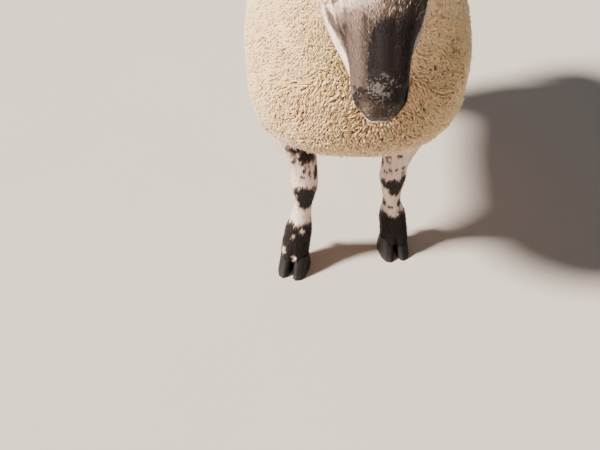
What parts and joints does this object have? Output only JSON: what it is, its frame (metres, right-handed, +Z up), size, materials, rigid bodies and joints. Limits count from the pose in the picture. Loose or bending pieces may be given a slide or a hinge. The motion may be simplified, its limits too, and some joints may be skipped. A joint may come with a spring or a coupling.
{
  "type": "sheep",
  "caption": "Still life-size ewe in short fleece, standing with head raised, black-patched white face and legs, for display on a floor.",
  "frame": {"origin": "on the floor, under the middle of the bounding box", "axes": "+Z up; the ewe faces -Y; her left side is +X"},
  "size_m": [0.431, 1.0892, 0.8845],
  "materials": {
    "fleece": "dense crimped wool, matte",
    "white_hair": "short flat hair with black patches",
    "face_hair": "very short hair, black and white",
    "horn": "dull dark horn",
    "eye": "wet amber eye with a level pupil"
  },
  "bodies": {
    "root": {"trunk": "fleece", "neck": "fleece", "tail": "fleece", "head": "face_hair", "lower_jaw": "white_hair", "eye_left": "eye", "eye_right": "eye", "ear_left": "face_hair", "ear_right": "face_hair", "fore_left_upper_leg": "white_hair", "fore_left_lower_leg": "white_hair", "fore_left_hoof_outer": "horn", "fore_left_hoof_inner": "horn", "fore_left_dewclaw_outer": "horn", "fore_left_dewclaw_inner": "horn", "fore_right_upper_leg": "white_hair", "fore_right_lower_leg": "white_hair", "fore_right_hoof_outer": "horn", "fore_right_hoof_inner": "horn", "fore_right_dewclaw_outer": "horn", "fore_right_dewclaw_inner": "horn", "hind_left_upper_leg": "fleece", "hind_left_lower_leg": "white_hair", "hind_left_hoof_outer": "horn", "hind_left_hoof_inner": "horn", "hind_left_dewclaw_outer": "horn", "hind_left_dewclaw_inner": "horn", "hind_right_upper_leg": "fleece", "hind_right_lower_leg": "white_hair", "hind_right_hoof_outer": "horn", "hind_right_hoof_inner": "horn", "hind_right_dewclaw_outer": "horn", "hind_right_dewclaw_inner": "horn"}
  },
  "joints": []
}
